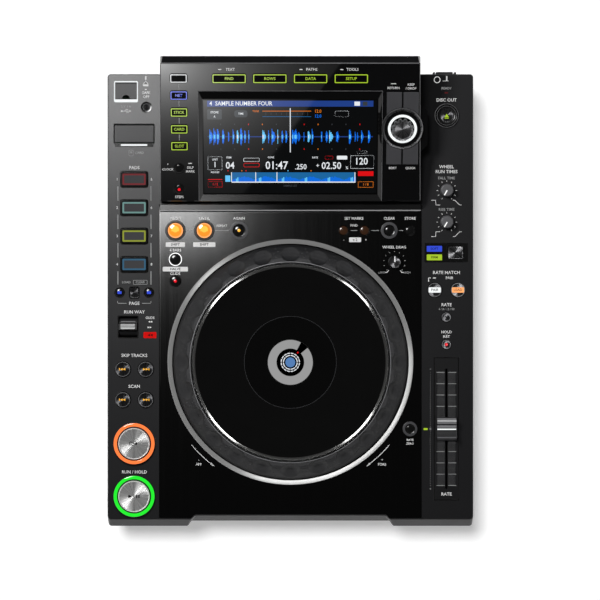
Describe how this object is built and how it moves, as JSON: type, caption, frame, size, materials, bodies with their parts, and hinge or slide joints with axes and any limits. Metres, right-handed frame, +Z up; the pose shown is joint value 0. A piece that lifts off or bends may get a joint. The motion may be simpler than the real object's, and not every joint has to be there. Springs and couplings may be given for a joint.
{
  "type": "tabletop disc player",
  "caption": "Black tabletop disc player for mixing music: a turning jog wheel, a tilted display, pads, loop and start buttons and a sliding tempo fader.",
  "frame": {"origin": "the middle of the bounding box's bottom face, on the surface that the feet stand on", "axes": "+Z up, +Y from the player's side towards the rear sockets, +X to the right as the player stands in front"},
  "size_m": [0.32, 0.4098, 0.1178],
  "materials": {
    "column_plastic": "fine matt moulded plastic",
    "brushed_deck": "black anodised, brushed front to back",
    "gloss_black": "polished black",
    "screen_bezel": "gloss with bright bevels",
    "dark_glass": "polished cover glass over a display",
    "painted_steel": "fine black powder coat",
    "satin_metal": "turned, satin plated",
    "grip_rubber": "soft matt grip",
    "black_key": "satin moulded key",
    "orange_key": "translucent, lit from inside",
    "circuit_board": "solder mask",
    "drive_steel": "zinc plated sheet"
  },
  "bodies": {
    "case": {"bottom_chassis": "painted_steel", "upper_cabinet": "column_plastic", "deck_plate": "brushed_deck", "display_housing": "gloss_black", "screen_frame": "screen_bezel", "screen_glass": "dark_glass", "main_board": "circuit_board", "media_board": "circuit_board", "jog_trim_ring": "satin_metal", "jog_bearing": "gloss_black", "drive_frame": "drive_steel"},
    "jog": {"jog_wheel": "grip_rubber", "jog_platter": "gloss_black"},
    "stop_button": {"stop_button": "black_key"},
    "bank_button_left": {"bank_button_left": "black_key"},
    "bank_button_right": {"bank_button_right": "black_key"},
    "track_back_button": {"track_back_button": "satin_metal"},
    "track_forward_button": {"track_forward_button": "satin_metal"},
    "search_back_button": {"search_back_button": "satin_metal"},
    "search_forward_button": {"search_forward_button": "satin_metal"},
    "eject_button": {"eject_button": "black_key"},
    "sync_button": {"sync_button": "black_key"},
    "master_button": {"master_button": "black_key"},
    "tempo_range_button": {"tempo_range_button": "black_key"},
    "master_tempo_button": {"master_tempo_button": "black_key"},
    "loop_in_button": {"loop_in_button": "orange_key"},
    "loop_out_button": {"loop_out_button": "orange_key"},
    "reloop_button": {"reloop_button": "black_key"},
    "beat_loop_button": {"beat_loop_button": "black_key"},
    "slip_button": {"slip_button": "black_key"},
    "call_back_button": {"call_back_button": "black_key"},
    "call_forward_button": {"call_forward_button": "black_key"},
    "delete_button": {"delete_button": "black_key"},
    "memory_button": {"memory_button": "black_key"},
    "tempo_reset_button": {"tempo_reset_button": "black_key"},
    "hot_cue_call_key": {"hot_cue_call_key": "black_key"},
    "jog_mode_key": {"jog_mode_key": "black_key"},
    "performance_pad_1": {"performance_pad_1": "black_key"},
    "performance_pad_2": {"performance_pad_2": "black_key"},
    "performance_pad_3": {"performance_pad_3": "black_key"},
    "performance_pad_4": {"performance_pad_4": "black_key"},
    "cue_button": {"cue_button": "satin_metal"},
    "play_button": {"play_button": "satin_metal"},
    "time_button": {"time_button": "black_key"},
    "quantize_button": {"quantize_button": "black_key"},
    "source_keys": {"source_keys": "black_key"},
    "menu_keys": {"menu_keys": "black_key"},
    "selector_side_keys": {"selector_side_keys": "black_key"},
    "usb_door": {"usb_door": "column_plastic"},
    "card_door": {"card_door": "column_plastic"},
    "direction_lever": {"direction_lever": "black_key"},
    "jog_adjust_knob": {"jog_adjust_knob": "black_key"},
    "touch_brake_knob": {"touch_brake_knob": "black_key"},
    "release_start_knob": {"release_start_knob": "black_key"},
    "selector_shaft": {"selector_shaft": "satin_metal"},
    "selector_knob": {"selector_knob": "black_key"},
    "tempo_fader": {"tempo_fader": "black_key"},
    "power_switch": {"power_switch": "black_key"},
    "spindle_turntable": {"spindle_turntable": "black_key"},
    "loading_roller": {"loading_roller": "grip_rubber"}
  },
  "joints": [
    {"name": "jog_spin", "type": "hinge", "parent": "case", "child": "jog", "pos_m": [0, -0.0604, 0.072], "axis": [0, 0, 1], "continuous": true},
    {"name": "stop_button_press", "type": "slide", "parent": "case", "child": "stop_button", "axis": [0, 0, -1], "range_m": [0, 0.0008], "stiffness_N_per_m": 400},
    {"name": "bank_button_left_press", "type": "slide", "parent": "case", "child": "bank_button_left", "axis": [0, 0, -1], "range_m": [0, 0.0008], "stiffness_N_per_m": 400},
    {"name": "bank_button_right_press", "type": "slide", "parent": "case", "child": "bank_button_right", "axis": [0, 0, -1], "range_m": [0, 0.0008], "stiffness_N_per_m": 400},
    {"name": "track_back_button_press", "type": "slide", "parent": "case", "child": "track_back_button", "axis": [0, 0, -1], "range_m": [0, 0.0008], "stiffness_N_per_m": 400},
    {"name": "track_forward_button_press", "type": "slide", "parent": "case", "child": "track_forward_button", "axis": [0, 0, -1], "range_m": [0, 0.0008], "stiffness_N_per_m": 400},
    {"name": "search_back_button_press", "type": "slide", "parent": "case", "child": "search_back_button", "axis": [0, 0, -1], "range_m": [0, 0.0008], "stiffness_N_per_m": 400},
    {"name": "search_forward_button_press", "type": "slide", "parent": "case", "child": "search_forward_button", "axis": [0, 0, -1], "range_m": [0, 0.0008], "stiffness_N_per_m": 400},
    {"name": "eject_button_press", "type": "slide", "parent": "case", "child": "eject_button", "axis": [0, 0, -1], "range_m": [0, 0.0008], "stiffness_N_per_m": 400},
    {"name": "sync_button_press", "type": "slide", "parent": "case", "child": "sync_button", "axis": [0, 0, -1], "range_m": [0, 0.0008], "stiffness_N_per_m": 400},
    {"name": "master_button_press", "type": "slide", "parent": "case", "child": "master_button", "axis": [0, 0, -1], "range_m": [0, 0.0008], "stiffness_N_per_m": 400},
    {"name": "tempo_range_button_press", "type": "slide", "parent": "case", "child": "tempo_range_button", "axis": [0, 0, -1], "range_m": [0, 0.0008], "stiffness_N_per_m": 400},
    {"name": "master_tempo_button_press", "type": "slide", "parent": "case", "child": "master_tempo_button", "axis": [0, 0, -1], "range_m": [0, 0.0008], "stiffness_N_per_m": 400},
    {"name": "loop_in_button_press", "type": "slide", "parent": "case", "child": "loop_in_button", "axis": [0, 0, -1], "range_m": [0, 0.0008], "stiffness_N_per_m": 400},
    {"name": "loop_out_button_press", "type": "slide", "parent": "case", "child": "loop_out_button", "axis": [0, 0, -1], "range_m": [0, 0.0008], "stiffness_N_per_m": 400},
    {"name": "reloop_button_press", "type": "slide", "parent": "case", "child": "reloop_button", "axis": [0, 0, -1], "range_m": [0, 0.0008], "stiffness_N_per_m": 400},
    {"name": "beat_loop_button_press", "type": "slide", "parent": "case", "child": "beat_loop_button", "axis": [0, 0, -1], "range_m": [0, 0.0008], "stiffness_N_per_m": 400},
    {"name": "slip_button_press", "type": "slide", "parent": "case", "child": "slip_button", "axis": [0, 0, -1], "range_m": [0, 0.0008], "stiffness_N_per_m": 400},
    {"name": "call_back_button_press", "type": "slide", "parent": "case", "child": "call_back_button", "axis": [0, 0, -1], "range_m": [0, 0.0008], "stiffness_N_per_m": 400},
    {"name": "call_forward_button_press", "type": "slide", "parent": "case", "child": "call_forward_button", "axis": [0, 0, -1], "range_m": [0, 0.0008], "stiffness_N_per_m": 400},
    {"name": "delete_button_press", "type": "slide", "parent": "case", "child": "delete_button", "axis": [0, 0, -1], "range_m": [0, 0.0008], "stiffness_N_per_m": 400},
    {"name": "memory_button_press", "type": "slide", "parent": "case", "child": "memory_button", "axis": [0, 0, -1], "range_m": [0, 0.0008], "stiffness_N_per_m": 400},
    {"name": "tempo_reset_button_press", "type": "slide", "parent": "case", "child": "tempo_reset_button", "axis": [0, 0, -1], "range_m": [0, 0.0008], "stiffness_N_per_m": 400},
    {"name": "hot_cue_call_key_press", "type": "slide", "parent": "case", "child": "hot_cue_call_key", "axis": [0, 0, -1], "range_m": [0, 0.0008], "stiffness_N_per_m": 400},
    {"name": "jog_mode_key_press", "type": "slide", "parent": "case", "child": "jog_mode_key", "axis": [0, 0, -1], "range_m": [0, 0.0008], "stiffness_N_per_m": 400},
    {"name": "performance_pad_1_press", "type": "slide", "parent": "case", "child": "performance_pad_1", "axis": [0, 0, -1], "range_m": [0, 0.0008], "stiffness_N_per_m": 400},
    {"name": "performance_pad_2_press", "type": "slide", "parent": "case", "child": "performance_pad_2", "axis": [0, 0, -1], "range_m": [0, 0.0008], "stiffness_N_per_m": 400},
    {"name": "performance_pad_3_press", "type": "slide", "parent": "case", "child": "performance_pad_3", "axis": [0, 0, -1], "range_m": [0, 0.0008], "stiffness_N_per_m": 400},
    {"name": "performance_pad_4_press", "type": "slide", "parent": "case", "child": "performance_pad_4", "axis": [0, 0, -1], "range_m": [0, 0.0008], "stiffness_N_per_m": 400},
    {"name": "cue_button_press", "type": "slide", "parent": "case", "child": "cue_button", "axis": [0, 0, -1], "range_m": [0, 0.0015], "stiffness_N_per_m": 500},
    {"name": "play_button_press", "type": "slide", "parent": "case", "child": "play_button", "axis": [0, 0, -1], "range_m": [0, 0.0015], "stiffness_N_per_m": 500},
    {"name": "time_button_press", "type": "slide", "parent": "case", "child": "time_button", "axis": [0, 0.2924, -0.9563], "range_m": [0, 0.0008], "stiffness_N_per_m": 400},
    {"name": "quantize_button_press", "type": "slide", "parent": "case", "child": "quantize_button", "axis": [0, 0.2924, -0.9563], "range_m": [0, 0.0008], "stiffness_N_per_m": 400},
    {"name": "source_keys_press", "type": "slide", "parent": "case", "child": "source_keys", "axis": [0, 0.2924, -0.9563], "range_m": [0, 0.0008], "stiffness_N_per_m": 400},
    {"name": "menu_keys_press", "type": "slide", "parent": "case", "child": "menu_keys", "axis": [0, 0.2924, -0.9563], "range_m": [0, 0.0008], "stiffness_N_per_m": 400},
    {"name": "selector_side_keys_press", "type": "slide", "parent": "case", "child": "selector_side_keys", "axis": [0, 0.2924, -0.9563], "range_m": [0, 0.0008], "stiffness_N_per_m": 400},
    {"name": "usb_door_hinge", "type": "hinge", "parent": "case", "child": "usb_door", "pos_m": [-0.14384, 0.18286, 0.071], "axis": [-1, 0, 0], "range_deg": [0, 95]},
    {"name": "card_door_hinge", "type": "hinge", "parent": "case", "child": "card_door", "pos_m": [-0.1368, 0.14645, 0.071], "axis": [-1, 0, 0], "range_deg": [0, 95]},
    {"name": "direction_lever_tilt", "type": "hinge", "parent": "case", "child": "direction_lever", "pos_m": [-0.14208, -0.02973, 0.0625], "axis": [1, 0, 0], "range_deg": [-16, 16]},
    {"name": "jog_adjust_turn", "type": "hinge", "parent": "case", "child": "jog_adjust_knob", "pos_m": [0.09104, 0.02665, 0.072], "axis": [0, 0, 1], "range_deg": [-150, 150]},
    {"name": "touch_brake_turn", "type": "hinge", "parent": "case", "child": "touch_brake_knob", "pos_m": [0.1368, 0.0895, 0.072], "axis": [0, 0, 1], "range_deg": [-300, 0]},
    {"name": "release_start_turn", "type": "hinge", "parent": "case", "child": "release_start_knob", "pos_m": [0.1368, 0.06181, 0.072], "axis": [0, 0, 1], "range_deg": [-300, 0]},
    {"name": "selector_push", "type": "slide", "parent": "case", "child": "selector_shaft", "axis": [0, 0.2924, -0.9563], "range_m": [0, 0.001], "stiffness_N_per_m": 500},
    {"name": "selector_turn", "type": "hinge", "parent": "selector_shaft", "child": "selector_knob", "pos_m": [0.0968, 0.14194, 0.10126], "axis": [0, -0.2924, 0.9563], "continuous": true},
    {"name": "tempo_fader_slide", "type": "slide", "parent": "case", "child": "tempo_fader", "axis": [0, -1, 0], "range_m": [-0.05, 0.05]},
    {"name": "power_switch_push", "type": "slide", "parent": "case", "child": "power_switch", "axis": [0, -1, 0], "range_m": [0, 0.0025]},
    {"name": "spindle_spin", "type": "hinge", "parent": "case", "child": "spindle_turntable", "pos_m": [0, -0.124, 0.0467], "axis": [0, 0, 1], "continuous": true},
    {"name": "loading_roller_spin", "type": "hinge", "parent": "case", "child": "loading_roller", "pos_m": [0, -0.177, 0.0436], "axis": [1, 0, 0], "continuous": true}
  ]
}
